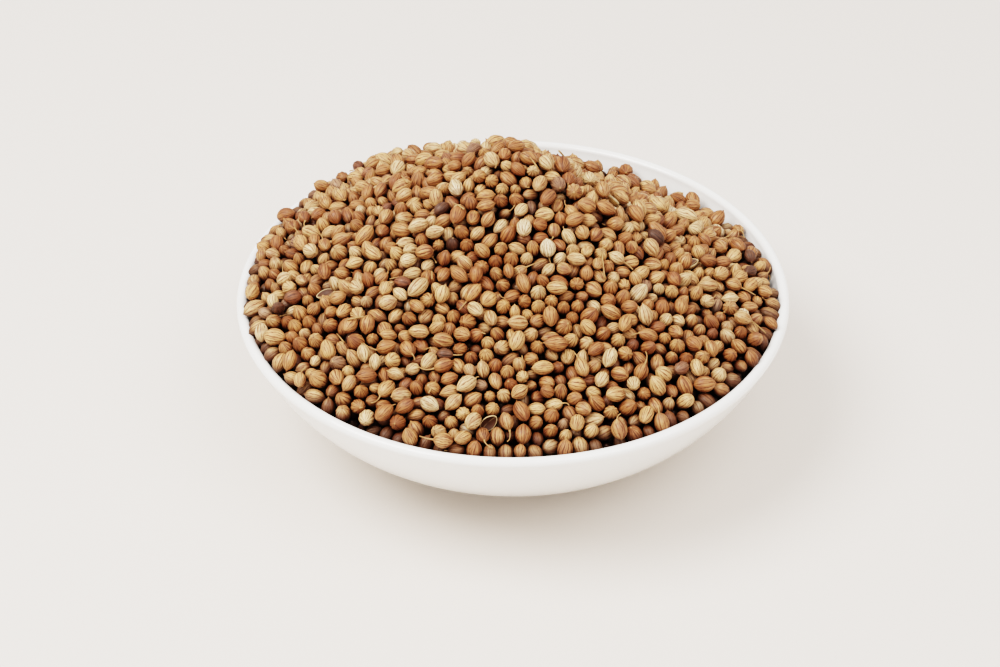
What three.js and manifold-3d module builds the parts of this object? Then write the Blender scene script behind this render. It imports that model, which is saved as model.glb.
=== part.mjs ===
// A shallow porcelain bowl heaped with dry coriander seeds, in millimetres, +Z up.
// The origin is on the table, under the middle of the foot ring. +Y points away from the viewer.

import * as THREE from 'three';
import { mergeVertices } from 'three/addons/utils/BufferGeometryUtils.js';
import Module from 'manifold-3d';

const wasm = await Module();
wasm.setup();

// Bowl: outside diameter at the rim, height and wall
const RIM_DIAMETER = 160;
const BOWL_HEIGHT = 44;
const RIM_RADIUS = RIM_DIAMETER / 2;
const LIP_RADIUS = 1.6;
const FOOT_OUTER_RADIUS = 37;
const FOOT_WIDTH = 3.2;
const FOOT_HEIGHT = 4.8;
const FOOT_CHAMFER = 0.6;
const RECESS_HEIGHT = 2.6;
const FLOOR_HEIGHT = 9;
const FLOOR_RADIUS = 34;
const FLOOR_DISH = 0.3;
const WALL_FOOT_HANDLE = new THREE.Vector2(22.5, 4);
const WALL_LIP_HANDLE = new THREE.Vector2(-7.5, -18);
const BOWL_SEGMENTS = 60;
const WALL_STEPS = 8;
const LIP_STEPS = 4;

// Heap: where the seeds meet the wall, how high they stand, and how they slope
const HEAP_RADIUS = 76.5;
const PEAK = new THREE.Vector3(-2, 16, BOWL_HEIGHT + 36);
const PEAK_ROUNDNESS = 0.28;
const EDGE_RISE = 3;
const EDGE_DIP = 6;
const DIP_ANGLE = THREE.MathUtils.degToRad(50);
const DIP_HOLLOW = 0.45;

// Seeds: one dry fruit at true size, and how much larger it is drawn so that the seeds cover the heap
const SEED_LENGTH = 5.1;
const SEED_WIDTH = 4.1;
const SEED_ENLARGED = 1.9;
const SPIRAL_SEEDS = 234;
const WALL_SEEDS = 50;
const SEED_SIZE_SPREAD = 0.1;
const SEED_DEPTH = (SEED_WIDTH * SEED_ENLARGED) / 2;
const SEED_TILT = 0.45;
const SEED_TO_WALL = 3.9;
const WALL_ROW = 7;
const WALL_ROW_SINK = 2;
const GOLDEN_RATIO = (1 + Math.sqrt(5)) / 2;
const GOLDEN_ANGLE = Math.PI * (3 - Math.sqrt(5));

// Stalks: the short dry pedicels left on some of the seeds
const STALK_EVERY = 14;
const STALK_LENGTH = 7;
const STALK_RADIUS = 0.6;
const STALK_TIP_RADIUS = 0.48;
const STALK_ALONG_SEED = 0.9;
const STALK_OUT_OF_HEAP = 0.6;
const STALK_SIDES = 3;

// Core that the seeds stand out of
const CORE_DEPTH = SEED_DEPTH * 1.25;
const CORE_SETBACK = 6;
const CORE_GAP = 0.5;
const CORE_SEGMENTS = 28;
const CORE_RINGS = 4;
const CORE_WALL_STEPS = 4;
const CORE_WALL_TOP = 0.82;
const SLIVER = 0.3;
const SAME_PLACE = 0.002;
const PARTING = 0.03;

const RANDOM_SEED = 20818;
const random = seededRandom(RANDOM_SEED);

// A small repeatable generator of numbers from 0 to 1
function seededRandom(seed) {
  let state = seed;
  return () => {
    state = (state + 0x6d2b79f5) | 0;
    let mixed = Math.imul(state ^ (state >>> 15), 1 | state);
    mixed = (mixed + Math.imul(mixed ^ (mixed >>> 7), 61 | mixed)) ^ mixed;
    return ((mixed ^ (mixed >>> 14)) >>> 0) / 4294967296;
  };
}

function spread(amount) {
  return (random() * 2 - 1) * amount;
}

// Curve of the wall from its foot up to the lip, steep at the lip and nearly level at the foot
function wallCurve(foot, lip) {
  return new THREE.CubicBezierCurve(
    foot, foot.clone().add(WALL_FOOT_HANDLE), lip.clone().add(WALL_LIP_HANDLE), lip);
}

function innerWall() {
  return wallCurve(
    new THREE.Vector2(FLOOR_RADIUS, FLOOR_HEIGHT + FLOOR_DISH),
    new THREE.Vector2(RIM_RADIUS - 2 * LIP_RADIUS, BOWL_HEIGHT - LIP_RADIUS),
  );
}

function outerWall() {
  return wallCurve(
    new THREE.Vector2(FOOT_OUTER_RADIUS, FOOT_HEIGHT),
    new THREE.Vector2(RIM_RADIUS, BOWL_HEIGHT - LIP_RADIUS),
  );
}

function lipPoints() {
  const points = [];
  for (let step = 1; step < LIP_STEPS; step += 1) {
    const angle = (Math.PI * step) / LIP_STEPS;
    const radius = RIM_RADIUS - LIP_RADIUS + LIP_RADIUS * Math.cos(angle);
    points.push(new THREE.Vector2(radius, BOWL_HEIGHT - LIP_RADIUS + LIP_RADIUS * Math.sin(angle)));
  }
  return points;
}

function bowlGeometry() {
  const footInner = FOOT_OUTER_RADIUS - FOOT_WIDTH;
  const profile = [
    new THREE.Vector2(0, RECESS_HEIGHT),
    new THREE.Vector2(footInner - FOOT_CHAMFER, RECESS_HEIGHT),
    new THREE.Vector2(footInner, 0),
    new THREE.Vector2(FOOT_OUTER_RADIUS - FOOT_CHAMFER, 0),
    new THREE.Vector2(FOOT_OUTER_RADIUS, FOOT_CHAMFER),
    ...outerWall().getPoints(WALL_STEPS),
    ...lipPoints(),
    ...innerWall().getPoints(WALL_STEPS).reverse(),
    new THREE.Vector2(0, FLOOR_HEIGHT),
  ];
  const geometry = new THREE.LatheGeometry(profile, BOWL_SEGMENTS);
  geometry.rotateX(Math.PI / 2);
  return geometry;
}

// Share of the way round to the low side of the heap, at the back right, from 0 to 1
function dipShare(angle) {
  return Math.max(0, Math.cos(angle - DIP_ANGLE)) ** 2;
}

// Height of the heap's outer surface: a rounded cone from the peak to an edge that dips on one side
function heapHeight(x, y) {
  const away = new THREE.Vector2(x - PEAK.x, y - PEAK.y);
  const distance = away.length();
  away.normalize();
  const along = PEAK.x * away.x + PEAK.y * away.y;
  const inside = HEAP_RADIUS ** 2 - PEAK.x ** 2 - PEAK.y ** 2;
  const reach = Math.sqrt(along ** 2 + inside) - along;
  const edgeAngle = Math.atan2(PEAK.y + reach * away.y, PEAK.x + reach * away.x);
  const edge = BOWL_HEIGHT + EDGE_RISE - EDGE_DIP * dipShare(edgeAngle);
  const full = Math.hypot(1, PEAK_ROUNDNESS) - PEAK_ROUNDNESS;
  const fall = (Math.hypot(distance / reach, PEAK_ROUNDNESS) - PEAK_ROUNDNESS) / full;
  const left = Math.max(0, 1 - fall) ** (1 + DIP_HOLLOW * dipShare(edgeAngle));
  return edge + (PEAK.z - edge) * left;
}

function heapNormal(x, y) {
  const step = SEED_WIDTH / 8;
  const slopeX = (heapHeight(x + step, y) - heapHeight(x - step, y)) / (2 * step);
  const slopeY = (heapHeight(x, y + step) - heapHeight(x, y - step)) / (2 * step);
  return new THREE.Vector3(-slopeX, -slopeY, 1).normalize();
}

// Radius of the wall's inside at a height, straight up above the lip
function wallRadius(height) {
  const curve = innerWall();
  let low = 0;
  let high = 1;
  for (let round = 0; round < 20; round += 1) {
    const middle = (low + high) / 2;
    if (curve.getPoint(middle).y < height) low = middle;
    else high = middle;
  }
  return curve.getPoint(low).x;
}

// Closed solid from rings of points that run from a top point down to a bottom point
function ringSolid(top, rings, bottom) {
  const positions = [top, ...rings.flat(), bottom].flatMap((point) => point.toArray());
  const count = rings[0].length;
  const last = rings.length * count + 1;
  const triangles = [];
  for (let i = 0; i < count; i += 1) {
    const next = (i + 1) % count;
    triangles.push(0, 1 + i, 1 + next);
    triangles.push(last, last - count + next, last - count + i);
    for (let ring = 0; ring + 1 < rings.length; ring += 1) {
      const upper = 1 + ring * count;
      const lower = upper + count;
      triangles.push(upper + i, lower + i, lower + next);
      triangles.push(upper + i, lower + next, upper + next);
    }
  }
  const geometry = new THREE.BufferGeometry();
  geometry.setAttribute('position', new THREE.Float32BufferAttribute(positions, 3));
  geometry.setIndex(triangles);
  return solidFrom(geometry);
}

// Core of the heap: its top lies under the seeds, its sides and bottom follow the inside of the bowl
function coreSolid() {
  const angles = Array.from({ length: CORE_SEGMENTS }, (_, i) => (2 * Math.PI * i) / CORE_SEGMENTS);
  const rings = [];
  for (let ring = 1; ring <= CORE_RINGS; ring += 1) {
    const share = ring / CORE_RINGS;
    rings.push(angles.map((angle) => {
      const edgeRadius = HEAP_RADIUS - CORE_SETBACK;
      const x = PEAK.x + share * (edgeRadius * Math.cos(angle) - PEAK.x);
      const y = PEAK.y + share * (edgeRadius * Math.sin(angle) - PEAK.y);
      return new THREE.Vector3(x, y, heapHeight(x, y) - CORE_DEPTH);
    }));
  }
  for (let step = 0; step < CORE_WALL_STEPS; step += 1) {
    const share = CORE_WALL_TOP * (1 - step / CORE_WALL_STEPS);
    const point = innerWall().getPoint(share);
    const tangent = innerWall().getTangent(share);
    const radius = point.x - CORE_GAP * (tangent.y + 1);
    const height = point.y + CORE_GAP * (tangent.x + 1);
    rings.push(angles.map((angle) => (
      new THREE.Vector3(radius * Math.cos(angle), radius * Math.sin(angle), height))));
  }
  const top = new THREE.Vector3(PEAK.x, PEAK.y, PEAK.z - CORE_DEPTH);
  return ringSolid(top, rings, new THREE.Vector3(0, 0, FLOOR_HEIGHT + 2 * CORE_GAP));
}

// Turns a closed three.js geometry into a solid that can be joined
function solidFrom(geometry) {
  const bare = geometry.clone();
  bare.deleteAttribute('normal');
  bare.deleteAttribute('uv');
  const merged = mergeVertices(bare, 1e-4);
  return new wasm.Manifold(new wasm.Mesh({
    numProp: 3,
    vertProperties: new Float32Array(merged.attributes.position.array),
    triVerts: new Uint32Array(merged.index.array),
  }));
}

function geometryFrom(solid) {
  const mesh = solid.getMesh();
  const geometry = new THREE.BufferGeometry();
  geometry.setAttribute('position', new THREE.BufferAttribute(mesh.vertProperties, 3));
  geometry.setIndex(new THREE.BufferAttribute(mesh.triVerts, 1));
  geometry.computeVertexNormals();
  return geometry;
}

// Draws apart corners that touch without being joined, so that the body stays closed
function partTouchingCorners(geometry) {
  const { position, normal } = geometry.attributes;
  const taken = new Set();
  for (let i = 0; i < position.count; i += 1) {
    const corner = new THREE.Vector3().fromBufferAttribute(position, i);
    const place = corner.toArray().map((value) => Math.round(value / SAME_PLACE)).join();
    if (taken.has(place)) {
      corner.addScaledVector(new THREE.Vector3().fromBufferAttribute(normal, i), -PARTING);
      position.setXYZ(i, corner.x, corner.y, corner.z);
    }
    taken.add(place);
  }
  return geometry;
}

// Where one seed lies: on the heap's slope, clear of the wall, along the wall if it is in the row there
function seedPlace(angle, wantedRadius, byWall) {
  const sink = SEED_DEPTH + (byWall ? WALL_ROW_SINK : 0);
  const height = heapHeight(wantedRadius * Math.cos(angle), wantedRadius * Math.sin(angle)) - sink;
  const radius = Math.min(wantedRadius, wallRadius(height) - SEED_TO_WALL);
  const x = radius * Math.cos(angle);
  const y = radius * Math.sin(angle);
  const normal = heapNormal(x, y);
  const centre = new THREE.Vector3(x, y, heapHeight(x, y) - sink);
  const heading = byWall ? angle + Math.PI / 2 : random() * Math.PI;
  const tilt = byWall ? 0 : spread(SEED_TILT);
  const axis = new THREE.Vector3(Math.cos(heading), Math.sin(heading), 0);
  axis.addScaledVector(normal, tilt - axis.dot(normal)).normalize();
  const size = SEED_ENLARGED * (1 + spread(SEED_SIZE_SPREAD));
  return { centre, axis, normal, size };
}

// A sunflower spiral of seeds that covers the heap inside the row by the wall
function spiralPlaces() {
  const reach = HEAP_RADIUS - WALL_ROW;
  return Array.from({ length: SPIRAL_SEEDS }, (_, i) => (
    seedPlace(i * GOLDEN_ANGLE, reach * Math.sqrt((i + 0.5) / SPIRAL_SEEDS), false)));
}

function wallPlaces() {
  return Array.from({ length: WALL_SEEDS }, (_, i) => (
    seedPlace((2 * Math.PI * i) / WALL_SEEDS, HEAP_RADIUS, true)));
}

// A seed is a stretched twenty-sided ball with a corner at each tip
function seedSolid({ centre, axis, size }) {
  const geometry = new THREE.IcosahedronGeometry(1, 0);
  geometry.rotateX(-Math.atan(GOLDEN_RATIO));
  geometry.scale(SEED_WIDTH / 2, SEED_LENGTH / 2, SEED_WIDTH / 2);
  geometry.scale(size, size, size);
  geometry.rotateY(random() * Math.PI);
  geometry.applyQuaternion(new THREE.Quaternion().setFromUnitVectors(new THREE.Vector3(0, 1, 0), axis));
  geometry.translate(centre.x, centre.y, centre.z);
  return solidFrom(geometry);
}

// A stalk is rooted in the middle of its seed and leans out of the heap
function stalkSolid({ centre, axis, normal }) {
  const lean = new THREE.Vector3().addScaledVector(axis, STALK_ALONG_SEED);
  lean.addScaledVector(normal, STALK_OUT_OF_HEAP).normalize();
  const length = STALK_LENGTH + SEED_LENGTH / 2;
  const geometry = new THREE.CylinderGeometry(STALK_TIP_RADIUS, STALK_RADIUS, length, STALK_SIDES);
  geometry.translate(0, length / 2, 0);
  geometry.applyQuaternion(new THREE.Quaternion().setFromUnitVectors(new THREE.Vector3(0, 1, 0), lean));
  geometry.translate(centre.x, centre.y, centre.z);
  return solidFrom(geometry);
}

// Core, seeds and stalks fused into one body, with any loose scrap dropped
function heapGeometry() {
  const spiral = spiralPlaces();
  const stalked = spiral.filter((_, i) => i % STALK_EVERY === 0);
  const seeds = [...spiral, ...wallPlaces()].map(seedSolid);
  const solids = [coreSolid(), ...seeds, ...stalked.map(stalkSolid)];
  const bodies = wasm.Manifold.union(solids).asOriginal().simplify(SLIVER).decompose();
  bodies.sort((a, b) => b.volume() - a.volume());
  return partTouchingCorners(geometryFrom(bodies[0]));
}

function namedMesh(name, geometry, material) {
  const mesh = new THREE.Mesh(geometry, material);
  mesh.name = name;
  return mesh;
}

const glaze = new THREE.MeshStandardMaterial({ color: 0xf1efea, roughness: 0.18, metalness: 0 });
const husk = new THREE.MeshStandardMaterial({ color: 0xa8794f, roughness: 0.6, metalness: 0 });

const heapedBowl = new THREE.Group();
heapedBowl.add(namedMesh('bowl', bowlGeometry(), glaze));
heapedBowl.add(namedMesh('seed_heap', heapGeometry(), husk));

export default heapedBowl;
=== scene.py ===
import math

import bpy
import numpy as np
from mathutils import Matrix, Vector


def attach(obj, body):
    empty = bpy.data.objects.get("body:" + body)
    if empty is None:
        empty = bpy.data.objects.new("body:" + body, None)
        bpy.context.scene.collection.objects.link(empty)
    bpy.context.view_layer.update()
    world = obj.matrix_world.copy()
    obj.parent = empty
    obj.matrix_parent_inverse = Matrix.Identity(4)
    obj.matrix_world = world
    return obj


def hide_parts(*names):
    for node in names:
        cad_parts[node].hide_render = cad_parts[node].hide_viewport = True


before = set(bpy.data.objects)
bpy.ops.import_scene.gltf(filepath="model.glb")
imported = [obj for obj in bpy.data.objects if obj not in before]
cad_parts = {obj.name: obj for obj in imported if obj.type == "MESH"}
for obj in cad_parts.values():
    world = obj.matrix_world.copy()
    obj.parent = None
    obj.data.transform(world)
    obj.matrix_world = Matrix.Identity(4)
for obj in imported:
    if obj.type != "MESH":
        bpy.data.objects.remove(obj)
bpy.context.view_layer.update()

# Sizes are in millimetres until a mesh is made
MM = 0.001

# Numbers that keep a division away from zero
TINY = 1e-9
SMALL = 1e-6
NEARLY_PARALLEL = 1e-4

# Bowl
RIM_RADIUS = 80.0
BOWL_HEIGHT = 44.0
LIP_RADIUS = 1.6
FOOT_OUTER_RADIUS = 37.0
FOOT_WIDTH = 3.2
FOOT_HEIGHT = 4.8
FOOT_ROUND = 0.6
RECESS_HEIGHT = 2.6
RECESS_CHAMFER = 1.2
RECESS_RING = 0.6
FLOOR_HEIGHT = 9.0
FLOOR_RADIUS = 34.0
FLOOR_DISH = 0.3
HALFWAY_DISH = 0.05
WALL_FOOT_HANDLE = (22.5, 4.0)
WALL_LIP_HANDLE = (-7.5, -18.0)
BOWL_SEGMENTS = 192
WALL_STEPS = 40
WALL_TABLE_STEPS = 200
LIP_STEPS = 14
FOOT_STEPS = 5

# Heap: the mound that the seeds lie on, its peak behind the middle, lower in front and at the back right
HEAP_RADIUS = 76.5
PEAK_X = 1.0
PEAK_Y = 14.0
PEAK_Z = BOWL_HEIGHT + 33.2
PEAK_ROUNDNESS = 0.16
EDGE_RISE = 3.0
EDGE_DIP = 5.6
DIP_ANGLE = math.radians(51)
DIP_POWER = 3
DIP_HOLLOW = 0.5
FRONT_DROP = 3.0
FRONT_ANGLE = math.radians(-80)
FRONT_POWER = 2
SLOPE_HOLLOW = 0.2
SLOPE_STEP = 0.5
SWELL = 0.6
SWELL_FADE = 3
SWELL_WAVES = ((0.09, 0.05, 0.4), (-0.06, 0.11, 2.1), (0.13, -0.08, 4.0))

# Seeds at true size
SEED_COUNT = 2880
PEAK_SEEDS = 150
PEAK_REACH = 36.0
SEED_LENGTH = 5.35
SEED_WIDTH = 4.0
SIZE_SPREAD = 0.085
SIZE_LIMITS = (0.76, 1.25)
LONG_SPREAD = 0.075
LONG_LIMITS = (0.86, 1.25)
SHORTEST_HALF = 0.05
LIE_FLAT = 0.55
STAND_LOW = -1.0
STAND_HIGH = 0.7

# How the seeds are packed
LAYER_DEPTH = 9.0
BURIED_DEPTH = 6.2
SHOWN_DEPTH = 3.2
START_RADIUS = 79.0
START_GAP = 0.8
PACK_STEPS = 300
PAIR_REFRESH = 8
PAIR_REACH = 8.5
PAIR_BLOCK = 256
PULL = 0.16
PUSH = 0.42
TURN = 0.25
LEVEL = 0.25
LEVEL_HOLD = 3
EDGE_MARGIN = 2.6
WALL_TOUCH = 0.35
WALL_GAP = 1.08
RANDOM_SEED = 411
GOLDEN_ANGLE = math.pi * (3 - math.sqrt(5))

# Seed meshes
RIBS = 10
RING_POINTS = 2 * RIBS
RINGS = 9
BURIED_POINTS = 10
BURIED_RINGS = 5
RING_CROWDING = 0.05
RIB_HEIGHT = 0.034
MESH_FIT = 0.985
BAKE_MARGIN = 0.03
BAKE_SPAN = 1 - 2 * BAKE_MARGIN
UPRIGHT = 0.9

# How the seeds differ
SKEW_SPREAD = 0.07
POINTED_RANGE = (0.95, 1.42)
RIB_RANGE = (0.5, 1.5)
FLAT_RANGE = (0.9, 1.0)
TWIST_SPREAD = 0.12
BEAK_RANGE = (0.15, 0.65)
NECK_RANGE = (0.05, 0.55)

# Depths below the mound between which the husks get painted shade, from none to dark
PAINTED_SHADE_TOP = 0.0
PAINTED_SHADE_FLOOR = 4.2

# Body under the seeds, painted near black as the shade down among them
BED_POINTS = 96
BED_RINGS = 26
BED_WALL_STEPS = 8
BED_WALL_RINGS = 6
BED_WALL_GAP = 0.6
BED_LIFT = 0.8
BED_EDGE = 71.0
BED_RISE = 0.6

# Split husks: outline rings as (spread, height), from the outside bottom over the edge to the hollow
HALVES = 4
HALVES_FRONT = 25.0
HALVES_DEPTH = SHOWN_DEPTH - 1
HALF_RINGS = ((0.3, -0.95), (0.6, -0.8), (0.84, -0.54), (0.96, -0.22), (1.0, 0.0),
              (0.95, 0.03), (0.87, -0.1), (0.6, -0.3), (0.3, -0.42))
HALF_TILT = 0.35
HALF_WIDTH = 0.95
HALF_POINTED = 0.28
HALF_LIFT = 0.3
HALF_BOTTOM = 0.7
HALF_HOLLOW = 0.16

# Stalks on the seeds, and broken ones that lie loose
STALK_SHARE = 0.15
STALK_POINTS = 7
STALK_SIDES = 6
STALK_TRIES = 16
STALK_LENGTHS = (2.0, 6.0)
STALK_ROOT = 0.35
STALK_LEAN = 0.15
STALK_BEND = 0.5
STALK_LIFT = 1.6
STALK_NEAR = 12
STALK_GAP = 0.12
STALK_RIM_GAP = 4
STALK_PLACES = (0, 0.14, 0.5, 1)
STALK_RADII = (0.46, 0.23, 0.16, 0.17)
LOOSE_STALKS = 14
LOOSE_REACH = 62
LOOSE_LENGTHS = (3.0, 6.0)
LOOSE_RADII = (0.27, 0.16)
LOOSE_RUN = 0.6
LOOSE_GAP = 0.2
LOOSE_SAG = 0.5

# Stage, in metres
FLOOR_SIZE = 6
SURROUND_COLOUR = (1.0, 0.99, 0.98, 1.0)
HORIZON_LIGHT = 0.8
ZENITH_LIGHT = 0.92
LIGHT_TARGET = (0, 0, 0.03)
KEY_LIGHT = {"place": (-0.55, -0.2, 0.95), "size": 0.65, "power": 10.4, "colour": (1.0, 0.98, 0.955)}
FRONT_LIGHT = {"place": (0.5, -0.45, 1.0), "size": 0.9, "power": 5.8, "colour": (1.0, 0.98, 0.96)}

# Camera at the photograph's angle, with the rim's middle offset to the right and up, in pixels
CAMERA_ELEVATION = math.radians(35.6)
CAMERA_DISTANCE = 600.0
CAMERA_LENS = 74.3
SENSOR_WIDTH = 36.0
FRAME_WIDTH = 1000
RIM_MIDDLE_OFFSET = (13.0, 50.4)

rng = np.random.default_rng(RANDOM_SEED)


# Shape of the bowl and the mound

def bezier(start, start_handle, end_handle, end, steps):
    t = np.linspace(0, 1, steps + 1)[:, None]
    points = [np.array(p, float) for p in (start, start_handle, end_handle, end)]
    weights = ((1 - t) ** 3, 3 * t * (1 - t) ** 2, 3 * t * t * (1 - t), t ** 3)
    return sum(w * p for w, p in zip(weights, points))


def wall_curve(foot, lip, steps):
    foot_handle = (foot[0] + WALL_FOOT_HANDLE[0], foot[1] + WALL_FOOT_HANDLE[1])
    lip_handle = (lip[0] + WALL_LIP_HANDLE[0], lip[1] + WALL_LIP_HANDLE[1])
    return bezier(foot, foot_handle, lip_handle, lip, steps)


def inner_wall(steps):
    lip = (RIM_RADIUS - 2 * LIP_RADIUS, BOWL_HEIGHT - LIP_RADIUS)
    return wall_curve((FLOOR_RADIUS, FLOOR_HEIGHT + FLOOR_DISH), lip, steps)


def outer_wall(steps):
    return wall_curve((FOOT_OUTER_RADIUS, FOOT_HEIGHT), (RIM_RADIUS, BOWL_HEIGHT - LIP_RADIUS), steps)


def arc(centre, radius, start, end, steps):
    angle = np.linspace(math.radians(start), math.radians(end), steps + 1)
    return np.stack([centre[0] + radius * np.cos(angle), centre[1] + radius * np.sin(angle)], 1)


INNER_WALL = inner_wall(WALL_TABLE_STEPS)


def wall_radius(z):
    return np.interp(z, INNER_WALL[:, 1], INNER_WALL[:, 0])


def toward(angle, middle, power):
    return np.clip(np.cos(angle - middle), 0, None) ** power


def mound_height(x, y):
    dx = x - PEAK_X
    dy = y - PEAK_Y
    distance = np.hypot(dx, dy) + TINY
    ux = dx / distance
    uy = dy / distance
    along = PEAK_X * ux + PEAK_Y * uy
    inside = HEAP_RADIUS ** 2 - PEAK_X ** 2 - PEAK_Y ** 2
    reach = np.sqrt(along ** 2 + inside) - along
    edge_angle = np.arctan2(PEAK_Y + reach * uy, PEAK_X + reach * ux)
    dip = toward(edge_angle, DIP_ANGLE, DIP_POWER)
    front = toward(edge_angle, FRONT_ANGLE, FRONT_POWER)
    edge = BOWL_HEIGHT + EDGE_RISE - EDGE_DIP * dip - FRONT_DROP * front
    full = math.hypot(1, PEAK_ROUNDNESS) - PEAK_ROUNDNESS
    fall = (np.hypot(distance / reach, PEAK_ROUNDNESS) - PEAK_ROUNDNESS) / full
    left = np.clip(1 - fall, 0, None) ** (1 + SLOPE_HOLLOW + DIP_HOLLOW * dip)
    swell = sum(np.sin(kx * x + ky * y + phase) for kx, ky, phase in SWELL_WAVES)
    return edge + (PEAK_Z - edge) * left + SWELL * swell * np.clip(left * SWELL_FADE, 0, 1)


def mound_normal(x, y):
    step = SLOPE_STEP
    slope_x = (mound_height(x + step, y) - mound_height(x - step, y)) / (2 * step)
    slope_y = (mound_height(x, y + step) - mound_height(x, y - step)) / (2 * step)
    normal = np.stack([-slope_x, -slope_y, np.ones_like(slope_x)], 1)
    return normal / np.linalg.norm(normal, axis=1, keepdims=True)


def unit(vectors):
    return vectors / np.maximum(np.linalg.norm(vectors, axis=-1, keepdims=True), TINY)


# Packing: seeds are short capsules that push each other apart and settle on the mound

def near_pairs(centre):
    first = []
    second = []
    for start in range(0, len(centre), PAIR_BLOCK):
        block = centre[start:start + PAIR_BLOCK]
        gap = ((block[:, None] - centre[None]) ** 2).sum(2)
        i, j = np.nonzero(gap < PAIR_REACH ** 2)
        keep = i + start < j
        first.append(i[keep] + start)
        second.append(j[keep])
    return np.concatenate(first), np.concatenate(second)


def closest_points(p, u, half_p, q, v, half_q):
    """How far along the two capsules' axes their closest points lie."""
    offset = p - q
    b = (u * v).sum(1)
    d = (u * offset).sum(1)
    e = (v * offset).sum(1)
    s = np.clip((b * e - d) / np.maximum(1 - b * b, NEARLY_PARALLEL), -half_p, half_p)
    t = np.clip(b * s + e, -half_q, half_q)
    s = np.clip(b * t - d, -half_p, half_p)
    return s, t


def push_apart(seeds, pairs):
    i, j = pairs
    centre, axis = seeds["centre"], seeds["axis"]
    s, t = closest_points(centre[i], axis[i], seeds["half"][i], centre[j], axis[j], seeds["half"][j])
    delta = centre[i] + s[:, None] * axis[i] - centre[j] - t[:, None] * axis[j]
    distance = np.linalg.norm(delta, axis=1)
    overlap = seeds["radius"][i] + seeds["radius"][j] - distance
    hit = overlap > 0
    i, j, s, t = i[hit], j[hit], s[hit], t[hit]
    push = delta[hit] / np.maximum(distance[hit], SMALL)[:, None] * (PUSH * overlap[hit])[:, None]
    move = np.zeros_like(centre)
    np.add.at(move, i, push)
    np.add.at(move, j, -push)
    turn = np.zeros_like(axis)
    np.add.at(turn, i, TURN * s[:, None] * push)
    np.add.at(turn, j, -TURN * t[:, None] * push)
    seeds["centre"] = centre + move
    seeds["axis"] = unit(axis + turn)


def keep_in_bowl(seeds, level):
    centre = seeds["centre"]
    radius = seeds["radius"]
    around = np.hypot(centre[:, 0], centre[:, 1])
    outward = centre[:, :2] / np.maximum(around, SMALL)[:, None]
    limit = wall_radius(centre[:, 2] - WALL_TOUCH * radius) - WALL_GAP * radius
    # Above the lip a seed may lean out over its round top
    over = np.clip(centre[:, 2] - (BOWL_HEIGHT - LIP_RADIUS), 0, None)
    reach = radius + LIP_RADIUS
    lip_middle = RIM_RADIUS - LIP_RADIUS
    lip_limit = lip_middle - np.sqrt(np.clip(reach ** 2 - over ** 2, 0, None))
    lip_limit = np.minimum(lip_limit, RIM_RADIUS - EDGE_MARGIN - radius)
    limit = np.where(over > 0, lip_limit, np.minimum(limit, lip_middle - reach))
    excess = np.clip(around - limit, 0, None)
    centre[:, :2] -= outward * excess[:, None]
    mound = mound_height(centre[:, 0], centre[:, 1])
    centre[:, 2] = np.maximum(centre[:, 2], mound - LAYER_DEPTH + radius)
    # Seeds that stand out of the mound are pressed back, so the pile spreads out to the wall
    normal = mound_normal(centre[:, 0], centre[:, 1])
    above = (centre[:, 2] - mound) * normal[:, 2] - seeds["stand"] * radius
    centre -= level * np.clip(above, 0, None)[:, None] * normal


def spiral(count, radius):
    """Places spread evenly over a disk."""
    index = np.arange(count) + 0.5
    reach = radius * np.sqrt(index / count)
    angle = index * GOLDEN_ANGLE
    return reach * np.cos(angle), reach * np.sin(angle)


def start_places():
    """Where the seeds start, at random depths in the layer and inside the bowl."""
    x, y = spiral(SEED_COUNT, START_RADIUS)
    # Steep slopes have more surface than their plan, so more seeds start around the peak
    peak_x, peak_y = spiral(PEAK_SEEDS, PEAK_REACH)
    x = np.concatenate([x, PEAK_X + peak_x])
    y = np.concatenate([y, PEAK_Y + peak_y])
    z = mound_height(x, y) - rng.uniform(0, LAYER_DEPTH, len(x))
    room = np.hypot(x, y) < np.where(z > BOWL_HEIGHT, START_RADIUS, wall_radius(z) - START_GAP)
    return x[room], y[room], z[room]


def new_seeds():
    x, y, z = start_places()
    count = len(x)
    normal = mound_normal(x, y)
    axis = unit(rng.normal(size=(count, 3)))
    axis = unit(axis - LIE_FLAT * (axis * normal).sum(1, keepdims=True) * normal)
    size = np.clip(1 + SIZE_SPREAD * rng.normal(size=count), *SIZE_LIMITS)
    long = np.clip(1 + LONG_SPREAD * rng.normal(size=count), *LONG_LIMITS)
    width = SEED_WIDTH * size
    length = SEED_LENGTH * size * long
    return {
        "centre": np.stack([x, y, z], 1),
        "axis": axis,
        "radius": width / 2,
        "half": np.clip((length - width) / 2, SHORTEST_HALF, None),
        "width": width,
        "length": length,
        "stand": rng.uniform(STAND_LOW, STAND_HIGH, count),
    }


def pack_seeds():
    seeds = new_seeds()
    for step in range(PACK_STEPS):
        if step % PAIR_REFRESH == 0:
            pairs = near_pairs(seeds["centre"])
        push_apart(seeds, pairs)
        left = 1 - step / PACK_STEPS
        seeds["centre"][:, 2] -= PULL * left
        keep_in_bowl(seeds, LEVEL * min(1, LEVEL_HOLD * left))
    return seeds


def depth_below(seeds):
    centre = seeds["centre"]
    return mound_height(centre[:, 0], centre[:, 1]) - centre[:, 2]


def picked(values, which):
    return {key: value[which] for key, value in values.items()}


# Meshes from arrays

def new_object(name, mesh):
    piece = bpy.data.objects.new(name, mesh)
    bpy.context.scene.collection.objects.link(piece)
    return piece


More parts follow.
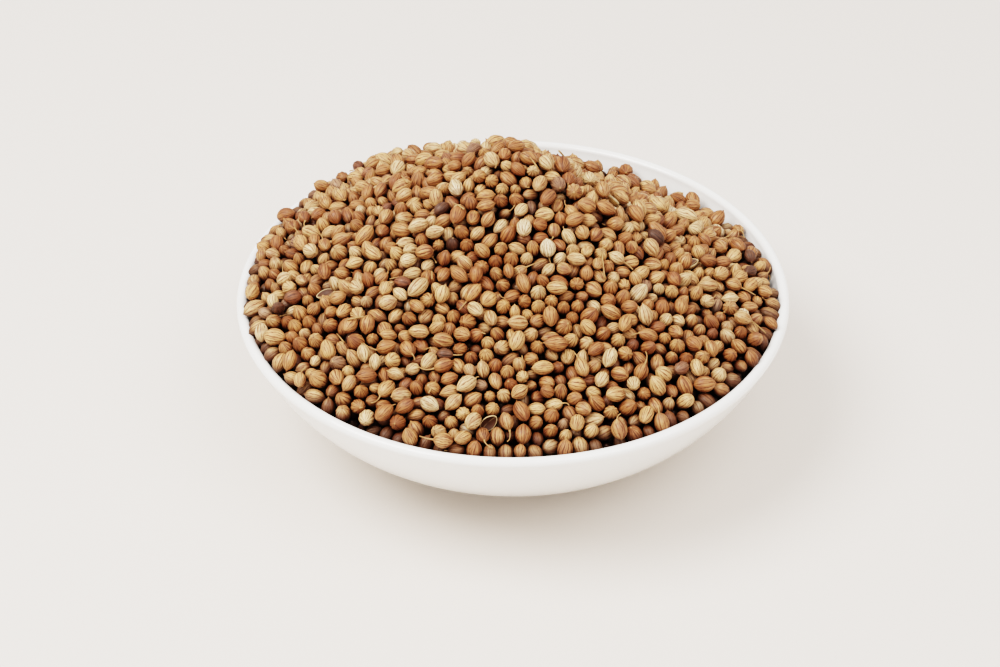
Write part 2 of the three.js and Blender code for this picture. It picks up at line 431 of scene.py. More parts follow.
def mesh_from_faces(name, verts, faces, face_uv=None, bake_uv=None, marks=None):
    """verts in millimetres; faces and the uv lists hold one array for each number of sides."""
    mesh = bpy.data.meshes.new(name)
    sides = np.concatenate([np.full(len(f), f.shape[1]) for f in faces])
    corners = np.concatenate([f.ravel() for f in faces]).astype(np.int32)
    starts = np.concatenate([[0], np.cumsum(sides)[:-1]]).astype(np.int32)
    mesh.vertices.add(len(verts))
    mesh.vertices.foreach_set("co", (np.asarray(verts) * MM).astype(np.float32).ravel())
    mesh.loops.add(len(corners))
    mesh.loops.foreach_set("vertex_index", corners)
    mesh.polygons.add(len(sides))
    mesh.polygons.foreach_set("loop_start", starts)
    mesh.polygons.foreach_set("use_smooth", np.ones(len(sides), bool))
    for layer, values in (("husk", face_uv), ("OFBake", bake_uv)):
        if values is not None:
            flat = np.concatenate([v.reshape(-1, 2) for v in values]).astype(np.float32)
            mesh.uv_layers.new(name=layer).data.foreach_set("uv", flat.ravel())
    for mark, values in (marks or {}).items():
        mesh.attributes.new(mark, "FLOAT", "POINT").data.foreach_set("value", values.astype(np.float32))
    mesh.update()
    mesh.validate()
    return mesh


def ring_faces(points, rings):
    """Quads between closed rings of points, and triangles from the first and last ring to two poles."""
    i = np.arange(points)
    j = (i + 1) % points
    rows = np.arange(rings - 1)[:, None] * points
    quads = np.stack([rows + i, rows + j, rows + points + j, rows + points + i], 2).reshape(-1, 4)
    low = np.stack([np.full(points, rings * points), j, i], 1)
    last = (rings - 1) * points
    high = np.stack([np.full(points, rings * points + 1), last + i, last + j], 1)
    return [quads, np.vstack([low, high])]


def lathe(name, profile, segments):
    """Closed turned body: the profile runs from the axis below to the axis above."""
    angle = 2 * math.pi * np.arange(segments) / segments
    ring = profile[1:-1]
    verts = np.stack([
        ring[:, None, 0] * np.cos(angle), ring[:, None, 0] * np.sin(angle),
        np.repeat(ring[:, None, 1], segments, 1)], 2).reshape(-1, 3)
    verts = np.vstack([verts, [0, 0, profile[0, 1]], [0, 0, profile[-1, 1]]])
    return mesh_from_faces(name, verts, ring_faces(segments, len(ring)))


def bowl_profile():
    foot_inner = FOOT_OUTER_RADIUS - FOOT_WIDTH
    recess_radii = (0, foot_inner * RECESS_RING, foot_inner - RECESS_CHAMFER)
    under = [(radius, RECESS_HEIGHT) for radius in recess_radii]
    inside_foot = arc((foot_inner + FOOT_ROUND, FOOT_ROUND), FOOT_ROUND, 180, 270, FOOT_STEPS)
    outside_foot = arc((FOOT_OUTER_RADIUS - FOOT_ROUND, FOOT_ROUND), FOOT_ROUND, -90, 0, FOOT_STEPS)
    lip = arc((RIM_RADIUS - LIP_RADIUS, BOWL_HEIGHT - LIP_RADIUS), LIP_RADIUS, 0, 180, LIP_STEPS)
    floor = [(FLOOR_RADIUS * 0.5, FLOOR_HEIGHT + HALFWAY_DISH), (0, FLOOR_HEIGHT)]
    return np.vstack([
        under, inside_foot, outside_foot, outer_wall(WALL_STEPS)[:-1], lip,
        inner_wall(WALL_STEPS)[::-1][1:], floor])


# Seed meshes

def grid_template(points, rings):
    """Faces of a closed grid of rings with a pole at each end, with (around, along) at each corner."""
    along = (np.arange(rings) + 1) / (rings + 1)
    left = np.broadcast_to(np.arange(points) / points, (rings - 1, points))
    right = left + 1 / points
    low = np.broadcast_to(along[:-1, None], left.shape)
    high = np.broadcast_to(along[1:, None], left.shape)
    quad_uv = np.stack([
        np.stack([left, low], 2), np.stack([right, low], 2),
        np.stack([right, high], 2), np.stack([left, high], 2)], 2).reshape(-1, 4, 2)
    u = np.arange(points) / points
    step = 1 / points
    first, final = np.full(points, along[0]), np.full(points, along[-1])
    zero, one = np.zeros(points), np.ones(points)
    south_uv = np.stack([
        np.stack([u + step / 2, zero], 1), np.stack([u + step, first], 1), np.stack([u, first], 1)], 1)
    north_uv = np.stack([
        np.stack([u + step / 2, one], 1), np.stack([u, final], 1), np.stack([u + step, final], 1)], 1)
    return {
        "points": points, "along": along,
        "faces": ring_faces(points, rings),
        "uv": [quad_uv, np.concatenate([south_uv, north_uv])],
    }


def axis_frames(axis, spin):
    helper = np.where(np.abs(axis[:, 2:3]) < UPRIGHT, [[0.0, 0.0, 1.0]], [[1.0, 0.0, 0.0]])
    side = unit(np.cross(axis, helper))
    other = np.cross(axis, side)
    cos, sin = np.cos(spin)[:, None], np.sin(spin)[:, None]
    return cos * side + sin * other, cos * other - sin * side


def seed_looks(count):
    return {
        "skew": rng.normal(0, SKEW_SPREAD, count),
        "pointed": rng.uniform(*POINTED_RANGE, count),
        "rib": rng.uniform(*RIB_RANGE, count),
        "flat": rng.uniform(*FLAT_RANGE, count),
        "twist": rng.normal(0, TWIST_SPREAD, count),
        "spin": rng.uniform(0, 2 * math.pi, count),
        "beak": rng.uniform(*BEAK_RANGE, count),
        "neck": rng.uniform(*NECK_RANGE, count),
        "tone": rng.uniform(0, 1, count),
    }


def seed_verts(template, seeds, looks):
    """Ribbed ovals with a blunt stalk end and a small beak at the tip, one row of verts for each seed."""
    points = template["points"]
    along = template["along"]
    # Rings crowd towards the ends so that the tips stay round
    polar = math.pi * (along - RING_CROWDING * np.sin(2 * math.pi * along))
    height = -np.cos(polar)
    belly = np.sin(polar)
    count = len(seeds["length"])
    skew = looks["skew"][:, None]
    pointed = looks["pointed"][:, None]
    girth = belly[None] ** pointed * (1 + skew * height[None])
    rib = np.where(np.arange(points) % 2 == 0, 1.0, -1.0)
    rib_depth = looks["rib"][:, None, None] * RIB_HEIGHT * belly[None, :, None] * rib[None, None]
    angle = 2 * math.pi * np.arange(points) / points
    flat = looks["flat"][:, None, None]
    radial = (MESH_FIT * seeds["width"] / 2)[:, None, None] * girth[:, :, None] * (1 + rib_depth)
    twist = looks["twist"][:, None, None] * height[None, :, None]
    across = radial * np.cos(angle + twist)
    over = radial * np.sin(angle + twist) * flat
    up = np.broadcast_to((seeds["length"] / 2)[:, None, None] * height[None, :, None], across.shape)
    side, other = axis_frames(seeds["axis"], looks["spin"])
    axis = seeds["axis"]
    body = (across[..., None] * side[:, None, None] + over[..., None] * other[:, None, None]
            + up[..., None] * axis[:, None, None]).reshape(count, -1, 3)
    beak = (seeds["length"] / 2 + looks["beak"])[:, None] * axis
    base = -(seeds["length"] / 2 + looks["neck"])[:, None] * axis
    verts = np.concatenate([body, base[:, None], beak[:, None]], 1)
    return verts + seeds["centre"][:, None]


def painted_shade_depth(verts):
    """How far each point lies down among the seeds, from 0 at the top of the heap to 1 in the gaps: the
    depth at which the husks get painted shade.
    """
    normal = mound_normal(verts[:, 0], verts[:, 1])
    depth = (mound_height(verts[:, 0], verts[:, 1]) - verts[:, 2]) * normal[:, 2]
    return np.clip((depth - PAINTED_SHADE_TOP) / (PAINTED_SHADE_FLOOR - PAINTED_SHADE_TOP), 0, 1)


def husk_mesh(name, batches):
    """One mesh from batches of (template, verts of each seed, tone of each seed).

    Each seed has its own cell of the bake map.
    """
    cells = math.ceil(math.sqrt(sum(len(verts) for _, verts, _ in batches)))
    all_verts = []
    tones = []
    faces = ([], [])
    face_uv = ([], [])
    bake_uv = ([], [])
    first_vert = 0
    first_cell = 0
    for template, verts, tone in batches:
        count, per_seed = verts.shape[:2]
        offset = (first_vert + np.arange(count) * per_seed)[:, None, None]
        cell = first_cell + np.arange(count)
        corner = np.stack([cell % cells, cell // cells], 1)[:, None, None] / cells
        # Quads first, then triangles
        for kind in range(2):
            corners, uv = template["faces"][kind], template["uv"][kind]
            sides = corners.shape[1]
            faces[kind].append((corners[None] + offset).reshape(-1, sides))
            face_uv[kind].append(np.broadcast_to(uv[None], (count,) + uv.shape).reshape(-1, sides, 2))
            in_cell = BAKE_MARGIN + BAKE_SPAN * uv[None]
            bake_uv[kind].append((corner + in_cell / cells).reshape(-1, sides, 2))
        all_verts.append(verts.reshape(-1, 3))
        tones.append(np.repeat(tone, per_seed))
        first_vert += count * per_seed
        first_cell += count
    points = np.vstack(all_verts)
    # The depth mark tells the husk material where to paint shade
    marks = {"tone": np.concatenate(tones), "painted_shade": painted_shade_depth(points)}
    return mesh_from_faces(
        name, points, [np.vstack(f) for f in faces], [np.vstack(uv) for uv in face_uv],
        [np.vstack(uv) for uv in bake_uv], marks)


# Materials

def srgb(red, green, blue):
    def linear(value):
        share = value / 255
        return share / 12.92 if share <= 0.04045 else ((share + 0.055) / 1.055) ** 2.4
    return (linear(red), linear(green), linear(blue), 1.0)


# Pairs of colours that a noise blends
GLAZE = (srgb(248, 246, 242), srgb(243, 240, 235))
BISCUIT = (srgb(226, 218, 204), srgb(206, 196, 180))
STALK = (srgb(186, 152, 106), srgb(134, 96, 60))
# Painted shade: the near-black colour of the body under the seeds
BED_PAINTED_SHADE = (srgb(34, 20, 12), srgb(16, 10, 7))
FLOOR = (srgb(224, 215, 207), srgb(221, 212, 203))
HOLLOW = (srgb(98, 62, 42), srgb(62, 38, 26))

# Marks on the husks, and the colour of the shade painted in the gaps
STAIN = srgb(122, 76, 56)
TIP = srgb(74, 42, 26)
STALK_SCAR = srgb(178, 146, 98)
# Painted shade: colour that the gaps between the seeds are painted
PAINTED_GAP_SHADE = srgb(36, 18, 9)
SPLIT_OUTSIDE = srgb(176, 136, 88)
SPLIT_FURROW = srgb(100, 58, 32)
SPLIT_EDGE = srgb(202, 178, 138)
SPLIT_SPINE = srgb(190, 160, 122)

# Noise scales on the husks, from broad stains to fine grain
STAIN_SCALE = 230.0
BLOTCH_SCALE = 330.0
WANDER_SCALE = 560.0
FAINT_SCALE = 640.0
BREAK_SCALE = 820.0
GRAIN_SCALE = 1900.0
STREAKS_AROUND = 2.6 * RIBS
STREAKS_ALONG = 2.2
STREAKS_APART = 40.0

# How strongly the marks on the husks show, and how dark the painted shade in the gaps gets
WANDER = 0.7
TONE_SHARE = 0.5
BLOTCH_SHARE = 0.5
STREAK_SHARE = 0.9
LINE_STRENGTH = 0.95
# Share of painted shade at the bottom of the gaps
PAINTED_GAP_STRENGTH = 0.85
LINE_RELIEF = -0.8
GRAIN_RELIEF = 0.5

# Tones of husk: name, share of the seeds, pale, deep and line colours
TONES = (
    ("cream", 0.05, srgb(229, 208, 172), srgb(187, 150, 107), srgb(106, 60, 37)),
    ("straw", 0.26, srgb(221, 189, 145), srgb(165, 117, 76), srgb(98, 53, 32)),
    ("wheat", 0.265, srgb(212, 172, 124), srgb(153, 102, 64), srgb(92, 49, 29)),
    ("tan", 0.215, srgb(204, 160, 112), srgb(147, 95, 60), srgb(86, 45, 26)),
    ("honey", 0.135, srgb(196, 148, 101), srgb(139, 87, 54), srgb(80, 42, 24)),
    ("amber", 0.043, srgb(182, 132, 90), srgb(138, 89, 57), srgb(72, 38, 23)),
    ("russet", 0.012, srgb(154, 104, 74), srgb(114, 71, 50), srgb(60, 33, 22)),
    ("umber", 0.004, srgb(118, 82, 61), srgb(84, 56, 43), srgb(46, 29, 21)),
    ("dusky", 0.016, srgb(172, 137, 108), srgb(130, 95, 74), srgb(72, 45, 35)),
)


class Shader:
    """A Principled material and short calls that add nodes to it."""

    def __init__(self, name):
        self.material = bpy.data.materials.new(name)
        self.material.use_nodes = True
        self.tree = self.material.node_tree
        self.principled = self.tree.nodes["Principled BSDF"]

    def node(self, kind, values=None, **settings):
        made = self.tree.nodes.new(kind)
        for key, value in settings.items():
            setattr(made, key, value)
        for socket, value in (values or {}).items():
            self.feed(made.inputs[socket], value)
        return made

    def feed(self, socket, value):
        if isinstance(value, bpy.types.NodeSocket):
            self.tree.links.new(value, socket)
        else:
            socket.default_value = value

    def set(self, **values):
        for name, value in values.items():
            self.feed(self.principled.inputs[name.replace("_", " ")], value)

    def math(self, operation, a, b=0.0):
        return self.node("ShaderNodeMath", {0: a, 1: b}, operation=operation).outputs[0]

    def plus(self, a, b):
        return self.math("ADD", a, b)

    def minus(self, a, b):
        return self.math("SUBTRACT", a, b)

    def times(self, a, b):
        return self.math("MULTIPLY", a, b)

    def larger(self, a, b):
        return self.math("MAXIMUM", a, b)

    def mix(self, share, a, b):
        return self.node("ShaderNodeMix", {0: share, 6: a, 7: b}, data_type="RGBA").outputs[2]

    def ramp(self, value, low, high, at_low, at_high):
        made = self.node("ShaderNodeMapRange", {0: value, 1: low, 2: high, 3: at_low, 4: at_high})
        made.interpolation_type = "SMOOTHSTEP"
        return made.outputs[0]

    def noise_at(self, place, scale, detail):
        made = self.node("ShaderNodeTexNoise", {"Vector": place, "Scale": scale, "Detail": detail})
        return made.outputs["Fac"]

    def noise(self, scale, detail=2.0):
        return self.noise_at(self.node("ShaderNodeTexCoord").outputs["Object"], scale, detail)

    def bump(self, height, distance, strength):
        made = self.node("ShaderNodeBump", {"Height": height, "Distance": distance, "Strength": strength})
        return made.outputs["Normal"]

    def mark(self, name):
        return self.node("ShaderNodeAttribute", attribute_name=name).outputs["Fac"]

    def around_and_along(self):
        place = self.node("ShaderNodeUVMap", uv_map="husk").outputs[0]
        split = self.node("ShaderNodeSeparateXYZ", {0: place})
        return split.outputs[0], split.outputs[1]


def glaze_material():
    shader = Shader("white_glaze")
    cloud = shader.noise(28.0, 3.0)
    ripple = shader.noise(70.0)
    shader.set(
        Base_Color=shader.mix(cloud, *GLAZE), Roughness=shader.ramp(cloud, 0.3, 0.7, 0.1, 0.18),
        Normal=shader.bump(ripple, 0.00025, 0.3), Coat_Weight=0.4, Coat_Roughness=0.05)
    return shader.material


def biscuit_material():
    shader = Shader("bare_biscuit")
    grain = shader.noise(1500.0, 4.0)
    shader.set(
        Base_Color=shader.mix(grain, *BISCUIT), Roughness=0.85, Normal=shader.bump(grain, 0.0002, 0.5))
    return shader.material


def line_mask(shader, place, inner, outer):
    """Thin lines where the running number is half-way between two whole ones."""
    fold = shader.math("ABSOLUTE", shader.minus(shader.math("FRACT", place), 0.5))
    return shader.ramp(fold, inner, outer, 1.0, 0.0)


def husk_lines(shader, around, along, tone):
    """Wavering lines along the furrows and fainter ones between them, fading out at the seed's ends."""
    wander = shader.times(shader.minus(shader.noise(WANDER_SCALE), 0.5), WANDER)
    ribs = shader.plus(shader.times(around, float(RIBS)), wander)
    furrow = line_mask(shader, ribs, 0.03, 0.15)
    between = line_mask(shader, shader.plus(ribs, 0.5), 0.01, 0.1)
    broken = shader.ramp(shader.noise(BREAK_SCALE), 0.36, 0.56, 0.35, 1.0)
    faint = shader.ramp(shader.noise(FAINT_SCALE), 0.42, 0.58, 0.0, 0.75)
    drawn = shader.larger(shader.times(furrow, broken), shader.times(between, faint))
    from_ends = shader.times(shader.times(along, shader.minus(1.0, along)), 4.0)
    lines = shader.times(drawn, shader.ramp(from_ends, 0.12, 0.55, 0.0, 1.0))
    # Some seeds show the one wide dark seam between their halves
    seam_side = shader.math("ABSOLUTE", shader.minus(around, 0.5))
    has_seam = shader.ramp(tone, 0.6, 0.7, 0.0, 0.9)
    seam = shader.times(shader.ramp(seam_side, 0.012, 0.03, 1.0, 0.0), has_seam)
    return shader.larger(lines, seam)


def husk_streaks(shader, around, along, tone):
    """Noise drawn out along the seed, different on each seed."""
    place = shader.node("ShaderNodeCombineXYZ", {
        0: shader.times(around, STREAKS_AROUND), 1: shader.times(along, STREAKS_ALONG),
        2: shader.times(tone, STREAKS_APART)})
    return shader.noise_at(place.outputs[0], 1.0, 2.0)


def husk_material(name, pale, deep, line):
    """Dry husk: two tones, lines, streaks and stains, a darker tip and a pale stalk end, with painted
    shade: sheltered sides painted redder and the gaps painted dark.
    """
    shader = Shader(name)
    around, along = shader.around_and_along()
    tone = shader.mark("tone")
    painted_shade = shader.mark("painted_shade")
    blotch = shader.noise(BLOTCH_SCALE, 3.0)
    grain = shader.noise(GRAIN_SCALE, 3.0)
    lines = husk_lines(shader, around, along, tone)
    streak = husk_streaks(shader, around, along, tone)
    shade = shader.plus(shader.times(tone, TONE_SHARE), shader.times(blotch, BLOTCH_SHARE))
    shade = shader.plus(shade, shader.times(streak, STREAK_SHARE))
    husk = shader.mix(shader.ramp(shade, 0.45, 1.3, 0.0, 1.0), pale, deep)
    husk = shader.mix(shader.ramp(streak, 0.52, 0.7, 0.0, 0.6), husk, line)
    stain = shader.ramp(shader.noise(STAIN_SCALE), 0.54, 0.66, 0.0, 0.5)
    husk = shader.mix(shader.times(stain, shader.ramp(tone, 0.2, 0.5, 0.3, 1.0)), husk, STAIN)
    husk = shader.mix(shader.times(lines, LINE_STRENGTH), husk, line)
    husk = shader.mix(shader.ramp(grain, 0.6, 0.8, 0.0, 0.4), husk, line)
    husk = shader.mix(shader.ramp(along, 0.9, 0.985, 0.0, 0.85), husk, TIP)
    husk = shader.mix(shader.ramp(along, 0.02, 0.09, 0.7, 0.0), husk, STALK_SCAR)
    # Painted shade: sheltered sides are painted redder, and then dark down in the gaps
    husk = shader.mix(shader.ramp(painted_shade, 0.0, 0.5, 0.0, 0.75), husk, line)
    husk = shader.mix(shader.times(painted_shade, PAINTED_GAP_STRENGTH), husk, PAINTED_GAP_SHADE)
    relief = shader.plus(shader.times(lines, LINE_RELIEF), shader.times(grain, GRAIN_RELIEF))
    shader.set(
        Base_Color=husk, Roughness=shader.ramp(blotch, 0.3, 0.7, 0.42, 0.58), Specular_IOR_Level=0.45,
        Normal=shader.bump(relief, 0.00014, 0.7))
    return shader.material


def half_material():
    """Split husk: ribbed tan outside, a pale broken edge and a brown hollow with a spine."""
    shader = Shader("split_husk")
    around, along = shader.around_and_along()
    mottle = shader.noise(900.0, 3.0)
    ribs = line_mask(shader, shader.times(around, 2.0 * RIBS), 0.05, 0.2)
    outside = shader.mix(shader.times(ribs, 0.7), SPLIT_OUTSIDE, SPLIT_FURROW)
    edge = shader.mix(shader.ramp(along, 0.36, 0.44, 0.0, 1.0), outside, SPLIT_EDGE)
    spine = line_mask(shader, shader.times(shader.plus(around, 0.25), 2.0), 0.03, 0.08)
    hollow = shader.mix(shader.times(spine, 0.4), shader.mix(mottle, *HOLLOW), SPLIT_SPINE)
    husk = shader.mix(shader.ramp(along, 0.6, 0.68, 0.0, 1.0), edge, hollow)
    shader.set(Base_Color=husk, Roughness=0.6, Normal=shader.bump(mottle, 0.0001, 0.6))
    return shader.material


def stalk_material():
    shader = Shader("dry_stalk")
    fibre = shader.noise(900.0, 3.0)
    shader.set(Base_Color=shader.mix(fibre, *STALK), Roughness=0.65, Normal=shader.bump(fibre, 0.0001, 0.5))
    return shader.material


def bed_material():
    shader = Shader("bed_painted_shade")
    # Painted shade: the body is near black where the seeds below lie in shadow
    lump = shader.noise(420.0, 3.0)
    shader.set(Base_Color=shader.mix(lump, *BED_PAINTED_SHADE), Roughness=0.9, Normal=shader.bump(lump, 0.001, 0.6))
    return shader.material


def floor_material():
    shader = Shader("pale_floor")
    cloud = shader.noise(3.0)
    shader.set(Base_Color=shader.mix(cloud, *FLOOR), Roughness=0.6, Specular_IOR_Level=0.2)
    return shader.material


# Pieces

def make_bowl():
    mesh = lathe("bowl_glazed", bowl_profile(), BOWL_SEGMENTS)
    mesh.materials.append(glaze_material())
    mesh.materials.append(biscuit_material())
    # The ring that the bowl stands on is bare
    ring_start = FOOT_OUTER_RADIUS - 2 * FOOT_WIDTH
    for face in mesh.polygons:
        middle = face.center / MM
        on_foot = middle.z < FOOT_ROUND and math.hypot(middle.x, middle.y) > ring_start
        face.material_index = 1 if on_foot else 0
    return new_object("bowl_glazed", mesh)


def make_bed():
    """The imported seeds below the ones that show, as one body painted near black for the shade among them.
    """
    angle = 2 * math.pi * np.arange(BED_POINTS) / BED_POINTS
    rows = []
    for wall, height in inner_wall(BED_WALL_STEPS)[:BED_WALL_RINGS]:
        radius = wall - BED_WALL_GAP
        level = np.full(BED_POINTS, height + BED_LIFT)
        rows.append(np.stack([radius * np.cos(angle), radius * np.sin(angle), level], 1))
    for share in np.linspace(1, 0, BED_RINGS - BED_WALL_RINGS, endpoint=False):
        x = PEAK_X + share * (BED_EDGE * np.cos(angle) - PEAK_X)
        y = PEAK_Y + share * (BED_EDGE * np.sin(angle) - PEAK_Y)
        rows.append(np.stack([x, y, mound_height(x, y) - LAYER_DEPTH + BED_RISE], 1))
    top = mound_height(np.array([PEAK_X]), np.array([PEAK_Y]))[0] - LAYER_DEPTH + BED_RISE
    verts = np.vstack(rows + [[0, 0, FLOOR_HEIGHT + BED_LIFT], [PEAK_X, PEAK_Y, top]])
    mesh = mesh_from_faces("seed_bed", verts, ring_faces(BED_POINTS, BED_RINGS))
    mesh.materials.append(bed_material())
    return new_object("seed_bed", mesh)


def make_seeds(seeds, whole):
    count = len(seeds["length"])
    looks = seed_looks(count)
    buried = depth_below(seeds) > BURIED_DEPTH
    shares = np.array([tone[1] for tone in TONES])
    tone_index = rng.choice(len(TONES), count, p=shares / shares.sum())
    shown_grid = grid_template(RING_POINTS, RINGS)
    buried_grid = grid_template(BURIED_POINTS, BURIED_RINGS)
    pieces = []
    for index, (name, _, pale, deep, line) in enumerate(TONES):
        batches = []
        for template, hidden in ((shown_grid, False), (buried_grid, True)):
            which = (tone_index == index) & (buried == hidden) & whole
            verts = seed_verts(template, picked(seeds, which), picked(looks, which))
            batches.append((template, verts, looks["tone"][which]))
        mesh = husk_mesh("seeds_" + name, batches)
        mesh.materials.append(husk_material("husk_" + name, pale, deep, line))
        pieces.append(new_object("seeds_" + name, mesh))
    return pieces


def choose_split(seeds):
    """Some of the top seeds in the front part of the heap, which are shown as split husks."""
    in_front = seeds["centre"][:, 1] < HALVES_FRONT
    top_seeds = np.nonzero((depth_below(seeds) < HALVES_DEPTH) & in_front)[0]
    return rng.choice(top_seeds, HALVES, replace=False)


def make_halves(seeds, which):
    """Split husks lying open side up in the place of some seeds."""
    template = grid_template(RING_POINTS, len(HALF_RINGS))
    angle = 2 * math.pi * np.arange(RING_POINTS) / RING_POINTS
    halves = []
    for index in which:
        centre = seeds["centre"][index]
        facing = mound_normal(centre[None, 0], centre[None, 1])[0]
        facing = unit(facing + HALF_TILT * rng.normal(size=3))
        axis = unit(seeds["axis"][index] - (seeds["axis"][index] @ facing) * facing)
        side = np.cross(facing, axis)
        long, wide = seeds["length"][index] / 2, seeds["width"][index] / 2
        across = HALF_WIDTH * wide * np.sin(angle) * (1 - HALF_POINTED * np.cos(angle) ** 2)
        outline = long * np.cos(angle)[:, None] * axis + across[:, None] * side
        rows = [
            centre + spread * outline + (height + HALF_LIFT) * wide * facing
            for spread, height in HALF_RINGS]
        low = centre - HALF_BOTTOM * wide * facing
        high = centre - HALF_HOLLOW * wide * facing
        halves.append(np.vstack(rows + [low, high]))
    mesh = husk_mesh("seed_halves", [(template, np.array(halves), rng.uniform(0, 1, len(halves)))])
    mesh.materials.append(half_material())
    return new_object("seed_halves", mesh)


# Stalks

def stalk_clear(points, seeds, own):
    """True where a stalk's points are clear of every other seed and of the bowl."""
    near = np.linalg.norm(seeds["centre"] - points.mean(0), axis=1) < STALK_NEAR
    near[own] = False
    centre, axis = seeds["centre"][near], seeds["axis"][near]
    offset = points[:, None] - centre[None]
    along = np.clip((offset * axis[None]).sum(2), -seeds["half"][near], seeds["half"][near])
    gap = np.linalg.norm(offset - along[..., None] * axis[None], axis=2) - seeds["radius"][near]
    in_bowl = np.hypot(points[:, 0], points[:, 1]) < RIM_RADIUS - STALK_RIM_GAP
    lying = points[:, 2] < mound_height(points[:, 0], points[:, 1]) + STALK_LIFT
    return in_bowl.all() and lying.all() and gap[1:].min(initial=1.0) > STALK_GAP


def tube_verts(points, radii):
    direction = np.gradient(points, axis=0)
    side, other = axis_frames(unit(direction), np.zeros(len(points)))
    angle = 2 * math.pi * np.arange(STALK_SIDES) / STALK_SIDES
    ring = np.cos(angle)[None, :, None] * side[:, None] + np.sin(angle)[None, :, None] * other[:, None]
    verts = points[:, None] + radii[:, None, None] * ring
    return np.vstack([verts.reshape(-1, 3), points[0], points[-1]])


def stalk_path(root, direction, bend, length):
    t = np.linspace(0, 1, STALK_POINTS)[:, None]
    return root + length * t * direction + STALK_BEND * length * t ** 2 * bend


def top_of_heap(points, seeds):
    """Height of the seeds' tops under each point, each seed taken as a ball."""
    across = np.linalg.norm(points[:, None, :2] - seeds["centre"][None, :, :2], axis=2)
    rise = np.sqrt(np.clip(seeds["radius"] ** 2 - across ** 2, 0, None))
    return np.where(across < seeds["radius"], seeds["centre"][:, 2] + rise, 0).max(1)


def loose_stalks(seeds):
    """Broken stalks that lie across the tops of the seeds."""
    made = []
    run = np.linspace(-0.5, 0.5, STALK_POINTS)
    radii = np.interp(run, [-0.5, 0.5], LOOSE_RADII)
    middle = STALK_POINTS // 2
    while len(made) < LOOSE_STALKS:
        place = rng.uniform(-LOOSE_REACH, LOOSE_REACH, 2)
        if np.hypot(*place) > LOOSE_REACH:
            continue
        turn = rng.uniform(0, math.pi)
        length = rng.uniform(*LOOSE_LENGTHS)
        points = np.zeros((STALK_POINTS, 3))
        points[:, 0] = place[0] + length * run * math.cos(turn)
        points[:, 1] = place[1] + length * run * math.sin(turn)
        tops = top_of_heap(points, seeds)
        slope = (tops[middle:].max() - tops[:middle + 1].max()) / LOOSE_RUN
        line = slope * run
        points[:, 2] = line + (tops - line).max() + LOOSE_GAP - LOOSE_SAG * run ** 2
        made.append(tube_verts(points, radii))
    return made


def grown_stalks(seeds, whole):
    """Pedicels on some of the seeds that show, each bent until it is clear of its neighbours."""
    shown = np.nonzero((depth_below(seeds) < SHOWN_DEPTH) & whole)[0]
    rng.shuffle(shown)
    wanted = int(STALK_SHARE * len(shown))
    radii = np.interp(np.linspace(0, 1, STALK_POINTS), STALK_PLACES, STALK_RADII)
    made = []
    for own in shown:
        if len(made) >= wanted:
            break
        root = seeds["centre"][own] - seeds["axis"][own] * (seeds["length"][own] / 2 - STALK_ROOT)
        for _ in range(STALK_TRIES):
            length = rng.uniform(*STALK_LENGTHS)
            bend = unit(rng.normal(size=3))
            direction = unit(-seeds["axis"][own] + STALK_LEAN * rng.normal(size=3))
            points = stalk_path(root, direction, bend, length)
            if stalk_clear(points, seeds, own):
                made.append(tube_verts(points, radii))
                break
    return made


def make_stalks(seeds, whole):
    stalks = grown_stalks(seeds, whole) + loose_stalks(seeds)
    template = grid_template(STALK_SIDES, STALK_POINTS)
    mesh = husk_mesh("seed_stalks", [(template, np.array(stalks), rng.uniform(0, 1, len(stalks)))])
    mesh.materials.append(stalk_material())
    return new_object("seed_stalks", mesh)


# Stage

def make_floor():
    bpy.ops.mesh.primitive_plane_add(size=FLOOR_SIZE)
    floor = bpy.context.object
    floor.name = "floor"
    floor.data.materials.append(floor_material())


def area_light(name, place, size, power, colour):
    data = bpy.data.lights.new(name, "AREA")
    data.shape = "DISK"
    data.size = size
    data.energy = power
    data.color = colour
    light = bpy.data.objects.new(name, data)
    bpy.context.scene.collection.objects.link(light)
    light.location = place
    light.rotation_euler = (Vector(LIGHT_TARGET) - Vector(place)).to_track_quat("-Z", "Y").to_euler()


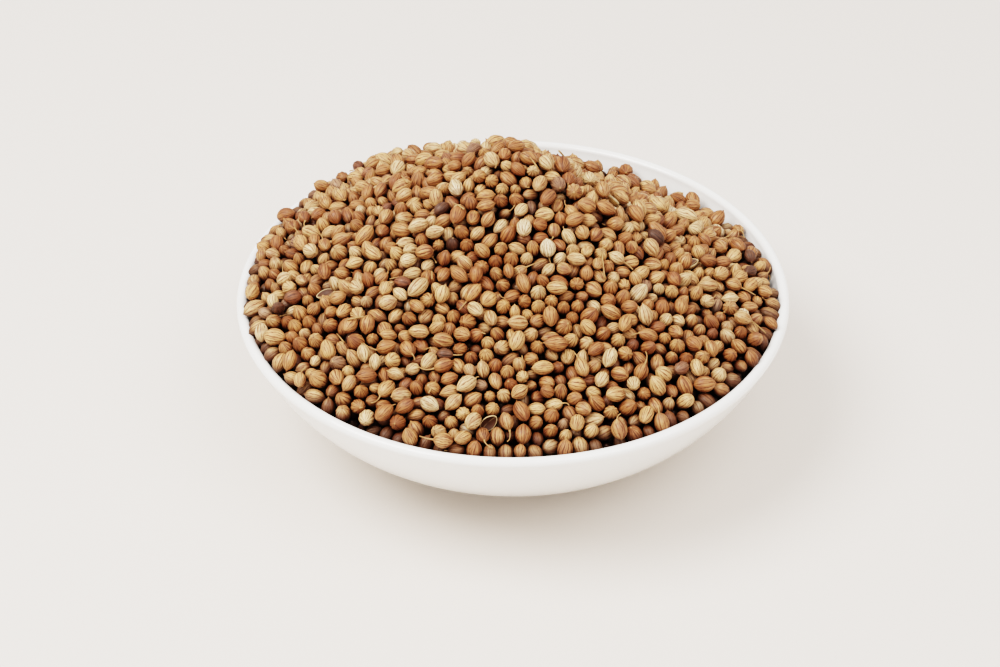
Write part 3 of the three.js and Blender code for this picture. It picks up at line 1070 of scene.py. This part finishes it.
def make_sky():
    """Soft surround, brighter overhead than at the horizon."""
    world = bpy.data.worlds.new("studio")
    bpy.context.scene.world = world
    world.use_nodes = True
    tree = world.node_tree
    background = tree.nodes["Background"]
    background.inputs["Color"].default_value = SURROUND_COLOUR
    place = tree.nodes.new("ShaderNodeTexCoord")
    split = tree.nodes.new("ShaderNodeSeparateXYZ")
    rise = tree.nodes.new("ShaderNodeMapRange")
    tree.links.new(place.outputs["Generated"], split.inputs[0])
    tree.links.new(split.outputs["Z"], rise.inputs["Value"])
    rise.inputs["To Min"].default_value = HORIZON_LIGHT
    rise.inputs["To Max"].default_value = ZENITH_LIGHT
    tree.links.new(rise.outputs["Result"], background.inputs["Strength"])


def make_light():
    make_sky()
    area_light("key", **KEY_LIGHT)
    area_light("front", **FRONT_LIGHT)
    view = bpy.context.scene.view_settings
    view.view_transform = "Filmic"
    view.look = "Very High Contrast"


def make_camera():
    data = bpy.data.cameras.new("camera")
    data.lens = CAMERA_LENS
    data.sensor_width = SENSOR_WIDTH
    data.shift_x = -RIM_MIDDLE_OFFSET[0] / FRAME_WIDTH
    data.shift_y = -RIM_MIDDLE_OFFSET[1] / FRAME_WIDTH
    camera = bpy.data.objects.new("camera", data)
    bpy.context.scene.collection.objects.link(camera)
    target = Vector((0, 0, BOWL_HEIGHT * MM))
    back = Vector((0, -math.cos(CAMERA_ELEVATION), math.sin(CAMERA_ELEVATION)))
    camera.location = target + back * CAMERA_DISTANCE * MM
    camera.rotation_euler = (-back).to_track_quat("-Z", "Y").to_euler()
    bpy.context.scene.camera = camera


make_camera()
make_light()
make_floor()

bowl = make_bowl()
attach(bowl, "root")
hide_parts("bowl")

packed = pack_seeds()
split_seeds = choose_split(packed)
whole_seeds = ~np.isin(np.arange(len(packed["length"])), split_seeds)
heap_pieces = [make_bed(), make_halves(packed, split_seeds), make_stalks(packed, whole_seeds)]
heap_pieces += make_seeds(packed, whole_seeds)
for piece in heap_pieces:
    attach(piece, "root")
    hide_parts("seed_heap")
